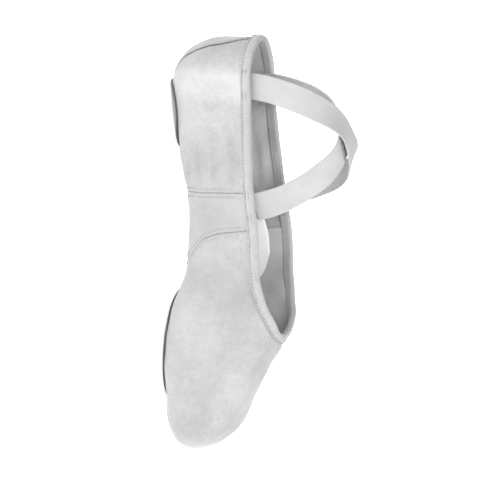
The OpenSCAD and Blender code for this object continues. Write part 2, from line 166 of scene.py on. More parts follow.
def rear_seam(w):
    """Station of the rear arch seam, at w from 0 under the sole to 1 or -1 at the topline."""
    return 31 - 1.3 * np.asarray(w) ** 2


def front_seam(w):
    """Station of the front arch seam: almost level at the topline, then a soft corner down to the sole."""
    d = np.maximum(0, 0.87 - np.abs(w))
    s = d * d / (d + 0.04)
    return 9.4 - 14 * (1 - np.abs(w)) - 7.8 * (1 - np.exp(-s / 0.16))


def back_seam(w):
    """Station of the back seam on the right, at w from 0 at the sole to 1 at the topline."""
    return HEEL_BACK - 12 + 10 * np.clip(w, 0, 1) ** 5


# ---- soft relief shared by every layer


def smooth(a, b, x):
    t = np.clip((x - a) / (b - a), 0, 1)
    return t * t * (3 - 2 * t)


# amplitude in mm, radians per mm, phase
WAVES = [
    (0.22, (0.11, 0.07, 0.16), 0.4), (0.20, (-0.09, 0.14, 0.10), 1.9), (0.13, (0.19, -0.22, 0.13), 2.6),
    (0.10, (0.31, 0.17, -0.24), 0.9), (0.07, (-0.35, 0.38, 0.29), 3.7), (0.05, (0.52, -0.47, 0.41), 5.1),
]
FOLD_DEPTH, SLACK_DEPTH, WAIST_DEPTH = 1.0, 0.22, 0.35
SEAM_PULL, ROW_PULL = 0.32, 0.22
BACK_DIP, BACK_RISE, BACK_CREASE = 0.60, 0.30, 0.35
GIRTH = 95  # mm of cloth from under the sole to the topline
SLANT_STEPS = 49
FRONT_SLANT = np.gradient(front_seam(np.linspace(0, 1, SLANT_STEPS + 1)), 1 / SLANT_STEPS) / GIRTH


def relief(y, g):
    """How far the soft cloth stands off the plain shape, in mm: gentle lumps and the arch's folds."""
    p = face(y, g)
    d = sum(a * np.sin(p @ np.array(k) + f) for a, k, f in WAVES)
    side = np.sign(g)
    height = p[..., 2]
    # long soft folds that run back from the rear arch seam into the quarters
    fold = np.sin(height * 0.62 + 0.5 * side + 0.0024 * (y - 40) ** 2)
    d = d + FOLD_DEPTH * fold * smooth(32, 38, y) * (1 - smooth(46, 78, y)) * smooth(6, 16, height)
    # slack wrinkles that run down and forward from the throat over the ball
    slack = np.sin(0.30 * y + 0.22 * height + 0.9 * side + 0.6 * np.sin(0.11 * y - 0.09 * height))
    d = d + SLACK_DEPTH * slack * smooth(-88, -60, y) * (1 - smooth(-30, -8, y)) * smooth(8, 20, height)
    # the waist of the arch panel
    return d - WAIST_DEPTH * np.exp(-((y - 12) / 9) ** 2) * smooth(10, 26, height)


def seam_profile(s):
    """How far the cloth is pulled in, s mm from a seam: at the seam and at its two rows of stitching."""
    s = np.abs(s)
    return -SEAM_PULL * np.exp(-(s / 0.7) ** 2) - ROW_PULL * np.exp(-((s - ROW_OFFSET - 0.2) / 0.55) ** 2)


def fabric_d(y, g):
    """Relief of the outer layer with its two arch seams and the back seam."""
    w = np.clip(np.abs(g) / top_angle(y), 0, 1)
    d = relief(y, g)
    d = d + seam_profile(y - rear_seam(w))
    slant = FRONT_SLANT[(w * SLANT_STEPS).astype(int)]
    d = d + seam_profile((y - front_seam(w)) / np.sqrt(1 + slant**2))
    seam = back_seam((np.abs(g) - HEEL_LOW) / (top_angle(y) - HEEL_LOW))
    near, far = y - seam, y - (2 * HEEL_BACK - seam)
    # the near side dips into the back seam and the far side stands a little above it
    d = d - BACK_DIP * np.exp(-(near / 1.3) ** 2) * (g < 0)
    ledge = BACK_RISE * np.exp(-(far / 1.6) ** 2) - BACK_CREASE * np.exp(-(far / 0.5) ** 2)
    return d + ledge * (g > 0)


# ---- mesh helpers

made = {}


def mesh_piece(name, verts, faces, uvs, material):
    """New smooth mesh object from points in mm. uvs is one pair for each vertex."""
    me = bpy.data.meshes.new(name)
    me.from_pydata((np.asarray(verts) * MM).tolist(), [], faces)
    me.validate()
    layer = me.uv_layers.new(name="UVMap")
    loop_vertex = np.zeros(len(me.loops), np.int32)
    me.loops.foreach_get("vertex_index", loop_vertex)
    layer.data.foreach_set("uv", np.asarray(uvs, np.float32)[loop_vertex].ravel())
    me.polygons.foreach_set("use_smooth", [True] * len(me.polygons))
    me.materials.append(material)
    obj = bpy.data.objects.new(name, me)
    bpy.context.scene.collection.objects.link(obj)
    made[name] = obj
    return obj


def arc_length(points):
    """Distance up to each point, along a line of points or along every column of a grid."""
    steps = np.linalg.norm(np.diff(points, axis=0), axis=-1)
    return np.concatenate([steps[:1] * 0, np.cumsum(steps, axis=0)])


def grid_uv(p):
    """UV pairs of a grid of points: mean arc length down the rows, own arc length along each row."""
    along = arc_length(p.swapaxes(0, 1)).T
    along = along - along[:, p.shape[1] // 2, None]
    down = arc_length(p).mean(1)[:, None] + 0 * along
    return np.stack([down, along], -1).reshape(-1, 2) / UV_SPAN + 0.5


def shell_piece(name, outer, inner, material, tips=None):
    """Closed cloth layer between two grids of points.

    With tips, the rows are rings, and the last ring closes on the outer and the inner tip.
    """
    rows, cols = outer.shape[:2]
    size = rows * cols
    last = cols - 1 if tips is None else cols

    def at(i, j):
        return i * cols + j % cols

    faces = []
    for i in range(rows - 1):
        for j in range(last):
            faces.append((at(i, j), at(i + 1, j), at(i + 1, j + 1), at(i, j + 1)))
            faces.append((size + at(i, j), size + at(i, j + 1), size + at(i + 1, j + 1), size + at(i + 1, j)))
    end = rows - 1
    for j in range(last):
        faces.append((at(0, j), at(0, j + 1), size + at(0, j + 1), size + at(0, j)))
        if tips is None:
            faces.append((at(end, j), size + at(end, j), size + at(end, j + 1), at(end, j + 1)))
        else:
            faces.append((at(end, j), 2 * size, at(end, j + 1)))
            faces.append((size + at(end, j), size + at(end, j + 1), 2 * size + 1))
    if tips is None:
        c = cols - 1
        for i in range(rows - 1):
            faces.append((at(i, 0), size + at(i, 0), size + at(i + 1, 0), at(i + 1, 0)))
            faces.append((at(i, c), at(i + 1, c), size + at(i + 1, c), size + at(i, c)))
    uv = grid_uv(outer)
    verts = np.concatenate([outer.reshape(-1, 3), inner.reshape(-1, 3)])
    uvs = np.concatenate([uv, uv])
    if tips is not None:
        verts = np.concatenate([verts, tips])
        uvs = np.concatenate([uvs, uv[-2:]])
    return mesh_piece(name, verts, faces, uvs, material)


def layer(name, y, g, d, thick, material):
    """Cloth over a grid of stations and angles: its outer side is d outside the outer face."""
    return shell_piece(name, off_face(y, g, d), off_face(y, g, d - thick), material)


def swept_faces(rows, cols, ring):
    """Faces through equal outlines, closed into a ring or capped at both ends."""

    def at(i, j):
        return (i % rows) * cols + j % cols

    faces = [(at(i, j), at(i, j + 1), at(i + 1, j + 1), at(i + 1, j))
             for i in range(rows if ring else rows - 1) for j in range(cols)]
    if not ring:
        faces.append(tuple(at(0, j) for j in range(cols - 1, -1, -1)))
        faces.append(tuple(at(rows - 1, j) for j in range(cols)))
    return faces


def sweep_piece(name, outlines, material, ring=False):
    """Solid through equal closed outlines, an array of rows x cols x 3."""
    rows, cols = outlines.shape[:2]
    length = np.linalg.norm(np.diff(outlines.mean(1), axis=0, append=outlines.mean(1)[:1]), axis=-1)
    u = np.concatenate([[0], np.cumsum(length)[:-1]])
    girth = np.linalg.norm(np.diff(outlines[0], axis=0, append=outlines[0][:1]), axis=-1)
    v = np.concatenate([[0], np.cumsum(girth)[:-1]])
    uvs = np.stack(np.broadcast_arrays(u[:, None], v[None]), -1).reshape(-1, 2) / UV_SPAN
    return mesh_piece(name, outlines.reshape(-1, 3), swept_faces(rows, cols, ring), uvs, material)


STITCH_SIDES = 6


def stitches(name, paths, length, gap, radius, lift, sink=0.30):
    """Separate stitches along (points, normals) lines. The ends of each one sink into the cloth."""
    verts, faces, uvs = [], [], []
    # share of the stitch's length, share of its radius, height of its middle
    profile = [(0.0, 0.35, -sink), (0.12, 0.9, 0.0), (0.35, 1.0, lift),
               (0.65, 1.0, lift), (0.88, 0.9, 0.0), (1.0, 0.35, -sink)]
    one_stitch = swept_faces(len(profile), STITCH_SIDES, False)
    for points, normals in paths:
        arc = arc_length(points)

        def at(s, line):
            return np.array([np.interp(s, arc, line[:, k]) for k in range(3)])

        count = int((arc[-1] - gap) / (length + gap))
        pitch = arc[-1] / max(count, 1)
        for k in range(count):
            s0 = k * pitch + gap / 2
            s1 = s0 + pitch - gap
            forward = unit(at(s1, points) - at(s0, points))
            base = len(verts)
            wobble = 0.06 * math.sin(k * 2.3)
            for f, r, h in profile:
                s = s0 + (s1 - s0) * f
                centre = at(s, points)
                b = unit(np.cross(forward, unit(at(s, normals))))
                n = np.cross(b, forward)
                for m in range(STITCH_SIDES):
                    t = 2 * math.pi * m / STITCH_SIDES
                    verts.append(centre + n * (h + radius * r * math.cos(t))
                                 + b * (wobble + radius * r * math.sin(t)))
                    uvs.append((s + m / STITCH_SIDES, f))
            faces += [tuple(base + v for v in corner) for corner in one_stitch]
    return mesh_piece(name, np.array(verts), faces, uvs, THREAD)


# ---- materials


class Nodes:
    """Small helper that adds and links shader nodes."""

    def __init__(self, name, **surface):
        self.material = bpy.data.materials.new(name)
        self.material.use_nodes = True
        self.tree = self.material.node_tree
        self.shader = self.tree.nodes["Principled BSDF"]
        for key, value in surface.items():
            self.shader.inputs[key.replace("_", " ")].default_value = value

    def add(self, kind, **settings):
        node = self.tree.nodes.new(kind)
        for key, value in settings.items():
            if key.startswith("in_"):
                slot = key[3:]
                node.inputs[int(slot) if slot.isdigit() else slot.replace("_", " ")].default_value = value
            else:
                setattr(node, key, value)
        return node

    def link(self, out, into):
        self.tree.links.new(out, into)

    def math(self, operation, a, b=None):
        node = self.add("ShaderNodeMath", operation=operation)
        for k, v in enumerate((a, b)):
            if v is None:
                continue
            if isinstance(v, (int, float)):
                node.inputs[k].default_value = v
            else:
                self.link(v, node.inputs[k])
        return node.outputs[0]

    def plus(self, a, b):
        return self.math("ADD", a, b)

    def times(self, a, b):
        return self.math("MULTIPLY", a, b)

    def noise(self, vector, scale, detail=3.0, rough=0.5):
        node = self.add("ShaderNodeTexNoise", in_Scale=scale, in_Detail=detail, in_Roughness=rough)
        self.link(vector, node.inputs["Vector"])
        return node.outputs["Fac"]

    def ramp(self, fac, stops):
        node = self.add("ShaderNodeValToRGB")
        elements = node.color_ramp.elements
        while len(elements) < len(stops):
            elements.new(0.5)
        for element, (pos, value) in zip(elements, stops):
            element.position = pos
            element.color = (*value, 1)
        self.link(fac, node.inputs["Fac"])
        return node.outputs["Color"]

    def product(self, colour_a, colour_b):
        node = self.add("ShaderNodeMix", data_type="RGBA", blend_type="MULTIPLY")
        node.inputs["Factor"].default_value = 1.0
        self.link(colour_a, node.inputs["A"])
        self.link(colour_b, node.inputs["B"])
        return node.outputs["Result"]

    def streaks(self, vector, scale):
        """Noise stretched by a scale of its own along each axis."""
        mapping = self.add("ShaderNodeMapping")
        mapping.inputs["Scale"].default_value = scale
        self.link(vector, mapping.inputs["Vector"])
        return self.noise(mapping.outputs[0], 1.0, 2.0)


def grey(v):
    return (v, v, v)


TWILL_PITCH, TWILL_SLANT = 1.5, 0.8
TONE_SPAN = 120  # the painted sheen and tone stops run this many mm either way along the foot
TONE_WANDER = 0.014


def cloth_material(name, light, dark, thread=0.45, bump=0.35, rough=0.85, sheen=0.25, ribs=None, soil=0.06,
                   slub=1.0, painted_sheen_and_tone=None, twill=0.0):
    """Woven cloth: a crossed weave from the UVs, slubs, slow mottling and a little handling dirt.

    thread and ribs are pitches in mm. painted_sheen_and_tone is (y in mm, tone) stops along the foot, for
    painted sheen, painted shade and slow tone changes, and twill is the depth of an oblique rib.
    """
    m = Nodes(name, Roughness=rough, Sheen_Weight=sheen, Sheen_Roughness=0.45, Specular_IOR_Level=0.25)
    place = m.add("ShaderNodeTexCoord")
    uv, body = place.outputs["UV"], place.outputs["Object"]
    split = m.add("ShaderNodeSeparateXYZ")
    m.link(uv, split.inputs[0])
    u, v = split.outputs[0], split.outputs[1]

    def lines(coordinate, pitch):
        return m.math("SINE", m.times(coordinate, 2 * math.pi * UV_SPAN / pitch))

    weave = m.times(lines(u, thread), lines(v, thread))
    if ribs:
        weave = m.plus(m.times(weave, 0.35), m.times(lines(v, ribs), 0.9))
    if twill:
        oblique = m.plus(u, m.times(v, TWILL_SLANT))
        weave = m.plus(weave, m.times(lines(oblique, TWILL_PITCH), twill))
    # slubs: noise stretched along each thread direction
    slubs = m.plus(m.streaks(uv, (90, 420, 1)), m.streaks(uv, (420, 90, 1)))
    blotch = m.noise(body, 38.0, 4.0, 0.6)
    fine = m.noise(body, 240.0, 3.0, 0.6)
    shade = m.plus(m.times(blotch, 0.5), m.times(slubs, 0.25 * slub))
    shade = m.plus(shade, m.times(fine, 0.22))
    dirt = m.ramp(m.noise(body, 14.0, 6.0, 0.7), [(0.30, grey(1 - soil * 2)), (0.56, grey(1.0))])
    colour = m.product(m.ramp(shade, [(0.42, dark), (0.72, light)]), dirt)
    # painted sheen and painted shade: the colour is multiplied by tone stops along the foot
    if painted_sheen_and_tone:
        body_split = m.add("ShaderNodeSeparateXYZ")
        m.link(body, body_split.inputs[0])
        wander = m.times(m.math("SUBTRACT", m.noise(body, 22.0, 3.0, 0.6), 0.5), TONE_WANDER)
        along = m.plus(m.plus(body_split.outputs[1], wander), TONE_SPAN * MM)
        share = m.times(along, 1 / (2 * TONE_SPAN * MM))
        stops = [((y + TONE_SPAN) / (2 * TONE_SPAN), grey(tone)) for y, tone in painted_sheen_and_tone]
        colour = m.product(colour, m.ramp(share, stops))
    m.link(colour, m.shader.inputs["Base Color"])
    height = m.plus(m.times(weave, 0.5), m.times(slubs, 1.2 * slub))
    fine_bump = m.add("ShaderNodeBump", in_Strength=bump, in_Distance=0.00012)
    m.link(height, fine_bump.inputs["Height"])
    soft_bump = m.add("ShaderNodeBump", in_Strength=0.35, in_Distance=0.0012)
    m.link(m.noise(body, 130.0, 3.0, 0.55), soft_bump.inputs["Height"])
    m.link(fine_bump.outputs["Normal"], soft_bump.inputs["Normal"])
    m.link(soft_bump.outputs["Normal"], m.shader.inputs["Normal"])
    m.link(m.plus(rough - 0.06, m.times(fine, 0.12)), m.shader.inputs["Roughness"])
    return m.material


def suede_material(name, light, dark):
    """Napped suede: short soft fibres, scuffed patches and darker pores."""
    m = Nodes(name, Sheen_Weight=0.45, Sheen_Roughness=0.6, Specular_IOR_Level=0.15)
    body = m.add("ShaderNodeTexCoord").outputs["Object"]
    nap = m.noise(body, 900.0, 4.0, 0.7)
    scuff = m.noise(body, 55.0, 5.0, 0.65)
    shade = m.plus(m.times(nap, 0.35), m.times(scuff, 0.65))
    m.link(m.ramp(shade, [(0.36, dark), (0.66, light)]), m.shader.inputs["Base Color"])
    bump = m.add("ShaderNodeBump", in_Strength=0.6, in_Distance=0.0003)
    m.link(m.plus(nap, m.times(scuff, 0.6)), bump.inputs["Height"])
    m.link(bump.outputs["Normal"], m.shader.inputs["Normal"])
    m.link(m.plus(0.86, m.times(nap, 0.12)), m.shader.inputs["Roughness"])
    return m.material


def thread_material(name, light, dark):
    """Twisted sewing thread: fine diagonal plies from the UVs."""
    m = Nodes(name, Roughness=0.7, Sheen_Weight=0.3)
    uv = m.add("ShaderNodeTexCoord")
    split = m.add("ShaderNodeSeparateXYZ")
    m.link(uv.outputs["UV"], split.inputs[0])
    ply = m.math("SINE", m.times(split.outputs[0], 2 * math.pi))
    mixed = m.plus(m.times(ply, 0.3), m.noise(uv.outputs["Object"], 300.0))
    # painted shade: each stitch is painted dark where it dives into its needle holes, for the shade inside
    # the holes
    from_middle = m.math("ABSOLUTE", m.math("SUBTRACT", split.outputs[1], 0.5))
    hole_shade = m.ramp(from_middle, [(0.12, grey(1.0)), (0.34, grey(0.06))])
    thread_colour = m.ramp(mixed, [(0.2, dark), (0.75, light)])
    m.link(m.product(thread_colour, hole_shade), m.shader.inputs["Base Color"])
    bump = m.add("ShaderNodeBump", in_Strength=0.5, in_Distance=0.00008)
    m.link(ply, bump.inputs["Height"])
    m.link(bump.outputs["Normal"], m.shader.inputs["Normal"])
    return m.material


# painted sheen and shade on the canvas: a painted sheen band at 88 to 95 mm where the heel starts to turn,
# painted shade on the heel top behind it, and slow tone changes along the rest of the foot
PAINTED_SHEEN_AND_TONE = [(-112, 0.80), (-94, 0.95), (-56, 0.88), (-18, 0.83), (2, 0.92), (42, 0.84), (66, 0.93), (80, 0.96),
        (88, 1.13), (95, 1.10), (101, 0.88), (109, 0.82)]
CANVAS = cloth_material("canvas", grey(0.40), grey(0.295), thread=0.5, bump=0.4, rough=0.46, sheen=0.15,
                        painted_sheen_and_tone=PAINTED_SHEEN_AND_TONE)
STRETCH = cloth_material("stretch_knit", grey(0.38), grey(0.31), thread=0.38, bump=0.3, rough=0.78, ribs=0.9,
                         slub=0.5)
LINING = cloth_material("cotton_lining", grey(0.48), grey(0.38), thread=0.55, rough=0.92, sheen=0.1)
ARCH_LINING = cloth_material("soft_arch_lining", grey(0.92), grey(0.84), thread=0.4, rough=0.88, ribs=0.8,
                             slub=0.4)
BINDING = cloth_material("binding_tape", grey(0.38), grey(0.30), bump=0.6, rough=0.7, sheen=0.2, twill=0.9)
ELASTIC = cloth_material("woven_elastic", grey(0.41), grey(0.35), thread=0.5, bump=0.45, rough=0.7, ribs=1.15,
                         slub=0.5)
TAPE = cloth_material("seam_tape", grey(0.54), grey(0.46), thread=0.6, bump=0.4, ribs=1.0)
INSOLE = suede_material("brushed_insole", grey(0.40), grey(0.31))
CORD = cloth_material("braided_cord", grey(0.80), grey(0.68), thread=0.6, bump=0.5)
# grey suede darkened further with painted shade: its near-black tone stands in for the shadow line along the
# edges of the sole patches
SUEDE_WITH_PAINTED_SHADE = suede_material("suede", grey(0.085), grey(0.045))
THREAD = thread_material("sewing_thread", grey(0.60), grey(0.45))

# ---- quarters and their linings

# heights of the layers above the plain outer face, in mm
LAYER_GAP = 0.2
OUTER_T, LINING_T = 0.9, 0.6
LINING_TOP = -OUTER_T - LAYER_GAP
INSIDE_TOP = LINING_TOP - LINING_T - 0.4
ON_LINING_TOP = INSIDE_TOP - 0.75
COTTON_EASE = 0.25
COTTON_TOP = LINING_TOP - COTTON_EASE
COTTON_FORWARD = 6.5  # how far the quarter linings run past the rear seam
RIGHT_GAP, LEFT_GAP, COTTON_GAP = 0.55, 0.22, 0.2  # from each layer to the back seam


def cotton_d(y, g):
    return relief(y, g) - COTTON_EASE


def quarter_grid(side, gap, forward, rows=132, cols=84):
    """Stations and angles of one quarter, from the rear seam to the back seam and from the sole up."""
    k = np.linspace(0, 1, cols + 1)[None]
    w = k if side < 0 else 1 - k
    i = np.linspace(0, 1, rows + 1)[:, None]
    front = rear_seam(w) + SEAM_GAP / 2 - forward
    back = HEEL_BACK + side * (HEEL_BACK - back_seam(w)) - gap
    y = np.where(i <= 0.5, front + (HEEL_Y - front) * i * 2, HEEL_Y + (back - HEEL_Y) * (i * 2 - 1))
    low = 0.3 + (HEEL_LOW - 0.3) * np.clip((y - 58) / 30, 0, 1) ** 2
    return y, side * (low + (top_angle(y) - low) * w)


def quarter(name, side, gap, top, thick, material, depth, forward=0):
    y, g = quarter_grid(side, gap, forward)
    return layer(name, y, g, top + depth(y, g), thick, material)


quarter("right_quarter_canvas", -1, RIGHT_GAP, 0, OUTER_T, CANVAS, fabric_d)
quarter("left_quarter_canvas", 1, LEFT_GAP, 0, OUTER_T, CANVAS, fabric_d)
for cotton_name, side in (("right_quarter_cotton", -1), ("left_quarter_cotton", 1)):
    quarter(cotton_name, side, COTTON_GAP, COTTON_TOP, LINING_T, LINING, cotton_d, COTTON_FORWARD)

TAPE_LOW, TAPE_BELOW_TOP = 62, 11  # girth angle of the lower end, degrees from the upper end to the topline
TAPE_HALF_W, TAPE_T, TAPE_BOW = 2.7, 0.5, 0.25
tape_top = float(top_angle(back_seam(1)))
tape_g = -np.linspace(TAPE_LOW, tape_top - TAPE_BELOW_TOP, 31)[None] * np.ones((15, 1))
tape_w = (-tape_g - HEEL_LOW) / (tape_top - HEEL_LOW)
tape_y = back_seam(tape_w) + np.linspace(-TAPE_HALF_W, TAPE_HALF_W, 15)[:, None]
tape_bow = -TAPE_BOW * np.cos(np.linspace(-1.4, 1.4, 15))[:, None]
tape_d = INSIDE_TOP - 0.55 + relief(tape_y, tape_g) + tape_bow
layer("back_seam_woven_tape", tape_y, tape_g, tape_d, TAPE_T, TAPE)

# ---- arch insert and its lining

arch_k = np.linspace(1, -1, 193)[None]
arch_i = np.linspace(0, 1, 57)[:, None]
arch_front = front_seam(arch_k) + SEAM_GAP / 2
arch_back = rear_seam(arch_k) - SEAM_GAP / 2
arch_y = arch_front + (arch_back - arch_front) * arch_i
arch_g = arch_k * top_angle(arch_y)
arch_d = fabric_d(arch_y, arch_g)
layer("arch_stretch_panel", arch_y, arch_g, arch_d, OUTER_T, STRETCH)

COVER_FRONT, COVER_BACK, COVER_CORNER, COVER_T = -25, 24, 20, 0.5
COVER_BELOW_TOP, COVER_FRONT_DROP = 9, 3.3  # degrees from the upper edge to the topline, more at the front
cover_k = np.linspace(1, -1, 161)[None]
cover_i = np.linspace(0, 1, 61)[:, None]
cover_front = COVER_FRONT + COVER_CORNER * np.abs(cover_k) ** 16
cover_y = cover_front + (COVER_BACK - cover_front) * cover_i
cover_drop = COVER_BELOW_TOP + COVER_FRONT_DROP * (1 - smooth(-22, 16, cover_y))
cover_g = cover_k * (top_angle(cover_y) - cover_drop)
cover_d = relief(cover_y, cover_g) + ON_LINING_TOP
layer("arch_soft_lining", cover_y, cover_g, cover_d, COVER_T, ARCH_LINING)

# ---- vamp and its lining

SEAM_STEPS, SIDE_STEPS, NOSE_STEPS = 60, 16, 48
VAMP_RINGS = 84
TUCK, TUCK_RINGS, TUCK_FADE = 0.9, 6, 6  # how far the vamp lining runs under the arch panel


def vamp_edge():
    """Stations and angles of the left half of the vamp's edge: front seam, side, then round the throat."""
    w = np.linspace(0, 1, SEAM_STEPS + 1)
    y_seam = front_seam(w) - SEAM_GAP / 2
    seam = np.stack([y_seam, w * top_angle(y_seam)], -1)
    y_side = front_seam(1) + (THROAT_START - front_seam(1)) * np.linspace(0, 1, SIDE_STEPS + 1)[1:]
    round_nose = np.sin(np.pi / 2 * np.linspace(0, 1, NOSE_STEPS + 1)[1:])
    y_top = np.concatenate([y_side, THROAT_START + (THROAT_Y - THROAT_START) * round_nose])
    return np.concatenate([seam, np.stack([y_top, top_angle(y_top)], -1)])


def vamp_grid():
    """Rings of stations and angles that close in from the edge to the tip, and the throat's column."""
    edge = vamp_edge()
    n = len(edge) - 1
    f = 0.992 * (1 - (1 - np.linspace(0, 1, VAMP_RINGS)) ** 1.4)[:, None]
    share = np.minimum(1, f * 1.6)
    y = edge[None, :, 0] + (TIP_Y - edge[None, :, 0]) * f
    g = edge[None, :, 1] * (1 - share) + (180 * np.arange(n + 1) / n)[None] * share
    return np.concatenate([y, y[:, n - 1:0:-1]], 1), np.concatenate([g, -g[:, n - 1:0:-1]], 1), n


vamp_y, vamp_g, vamp_n = vamp_grid()
vamp_p = face(vamp_y, vamp_g)
# gathers that run from the binding into the vamp, strongest beside the throat
around = arc_length(vamp_p[0])
away = arc_length(vamp_p)
from_throat = np.abs(around - around[vamp_n])
gather = 0.26 * np.sin(from_throat * 1.35 + 0.4)
gather = gather + 0.16 * np.sin(from_throat * 2.1 + np.sin(from_throat * 0.31))
gather = gather * np.exp(-((from_throat - 10) / 24) ** 2)
vamp_pucker = gather[None] * np.exp(-np.maximum(away - 2, 0) / 7.0)


def vamp_layer(name, top, thick, material, d, tuck=0):
    """One layer of the vamp. tuck carries its edge past the front seam, under the arch panel."""
    columns = np.arange(vamp_p.shape[1])
    steps = np.minimum(columns, vamp_p.shape[1] - columns)
    near_edge = 1 - smooth(0, TUCK_RINGS, np.arange(VAMP_RINGS))
    near_seam = 1 - smooth(SEAM_STEPS, SEAM_STEPS + TUCK_FADE, steps)
    y = vamp_y + tuck * near_edge[:, None] * near_seam
    outer = off_face(y, vamp_g, top + d)
    inner = off_face(y, vamp_g, top - thick + d)
    tip = np.array([0, TIP_Y - Y_MID, TIP_Z])
    tips = np.array([tip - [0, top, 0], tip - [0, top - thick, 0]])
    return shell_piece(name, outer, inner, material, tips)


# the relief dies away before the tip
fade = 1 - smooth(0.80, 0.99, (vamp_y - TOE_Y) / (TIP_Y - TOE_Y))
vamp_layer("vamp_canvas", 0, OUTER_T, CANVAS, (fabric_d(vamp_y, vamp_g) + vamp_pucker) * fade)
vamp_layer("vamp_cotton", COTTON_TOP, LINING_T, LINING, (cotton_d(vamp_y, vamp_g) + vamp_pucker) * fade, TUCK)

# ---- sole patches and insoles


def under_station(x, y):
    """Station and angle of the point of the sole at plan place x, y."""
    past = np.maximum(0, y - HEEL_Y)
    r = np.hypot(x, past)
    turn = np.degrees(np.arctan2(past, np.abs(x))) / 90
    station = np.where(past > 0, HEEL_Y + (HEEL_BACK - HEEL_Y) * turn, y)
    half, _, _, _, low_n, _, _ = shape(station)
    angle = 90 - np.degrees(np.arccos(np.minimum(0.999, r / half) ** (low_n / 2)))
    return station, np.where(x < 0, -1, 1) * np.maximum(0.02, angle)


def pad_grid(y_front, y_back, half_w, squareness, rows, cols):
    """Plan points of an oval pad: each row runs across the foot."""
    a = np.radians(np.linspace(-86, 86, rows + 1))[:, None]
    w = half_w * np.cos(a) ** (2 / squareness)
    across = np.sin(np.radians(np.linspace(-90, 90, cols + 1)))[None]
    return w * across, (y_front + y_back) / 2 + (y_back - y_front) / 2 * np.sin(a) + 0 * across


def patch(name, y_front, y_back, half_w, squareness, top, thick, material, rows=72, cols=48):
    """Suede patch: it follows the cloth above, stays above the floor and has a softly rounded edge."""
    x, y = pad_grid(y_front, y_back, half_w, squareness, rows, cols)
    station, angle = under_station(x, y)
    edge_row = np.minimum(np.arange(rows + 1), rows - np.arange(rows + 1))[:, None]
    edge_col = np.minimum(np.arange(cols + 1), cols - np.arange(cols + 1))[None]
    rim = np.minimum(edge_row * (y_back - y_front) / rows * 0.35 + 0.1, edge_col * half_w / cols * 0.7 + 0.1)
    round_off = 0.45 * np.exp(-rim / 0.7)
    upper = off_face(station, angle, top)
    lower = off_face(station, angle, top + thick - round_off)
    lower[..., 2] = np.where(lower[..., 2] < 0.25, round_off * 0.8, lower[..., 2])
    return shell_piece(name, upper, lower, material)


PATCH_GAP, SUEDE_T, INSOLE_T = 0.25, 1.2, 1.9
MARGIN, VOXEL, MOST_SWELL, CLOTH_FRAMES = 0.6, 0.0011, 0.00030, 12
patch("heel_suede_patch", 56, 96, 16.3, 2.3, PATCH_GAP, SUEDE_T, SUEDE_WITH_PAINTED_SHADE)
patch("forefoot_suede_patch", -89, -23, 27, 2.6, PATCH_GAP, SUEDE_T, SUEDE_WITH_PAINTED_SHADE)


def insole(name, y_front, y_back, half_w, squareness, rows, cols):
    """Padded insole: a slightly small, thin pad that the cloth solver swells."""
    x, y = pad_grid(y_front + MARGIN, y_back - MARGIN, half_w - MARGIN, squareness, rows, cols)
    station, angle = under_station(x, y)
    upper = off_face(station, angle, ON_LINING_TOP - INSOLE_T + 0.35)
    lower = off_face(station, angle, ON_LINING_TOP - 0.25)
    obj = shell_piece(name, lower, upper, INSOLE)
    rest = obj.copy()
    rest.data = obj.data.copy()
    bpy.context.scene.collection.objects.link(rest)
    remesh = rest.modifiers.new("remesh", "REMESH")
    remesh.mode, remesh.voxel_size = "VOXEL", VOXEL
    bpy.context.view_layer.objects.active = rest
    bpy.ops.object.modifier_apply(modifier="remesh")
    start = np.array([v.co for v in rest.data.vertices])
    cloth = rest.modifiers.new("cloth", "CLOTH")
    cloth.settings.quality = 4
    cloth.settings.use_pressure = True
    cloth.settings.uniform_pressure_force = 3.0
    cloth.settings.effector_weights.gravity = 0
    cloth.settings.tension_stiffness = cloth.settings.compression_stiffness = 25
    cloth.settings.shrink_min = -0.02
    for number in range(1, CLOTH_FRAMES + 1):
        bpy.context.scene.frame_set(number)
    evaluated = rest.evaluated_get(bpy.context.evaluated_depsgraph_get())
    moved = np.array([v.co for v in evaluated.data.vertices]) - start
    bpy.context.scene.frame_set(1)
    rest.modifiers.remove(cloth)
    far = np.linalg.norm(moved, axis=1, keepdims=True)
    moved *= np.minimum(1, MOST_SWELL / np.maximum(far, 1e-9))
    rest.data.vertices.foreach_set("co", (start + moved).ravel())
    rest.data.update()
    rest.data.polygons.foreach_set("use_smooth", [True] * len(rest.data.polygons))
    bpy.data.objects.remove(obj)
    rest.name = name
    made[name] = rest
    return rest


insole("heel_insole_pad", 40, 109, 17.5, 2.4, 60, 30)
insole("forefoot_insole_pad", -106, -29, 28, 2.4, 66, 40)

# ---- topline: binding, cord and thread


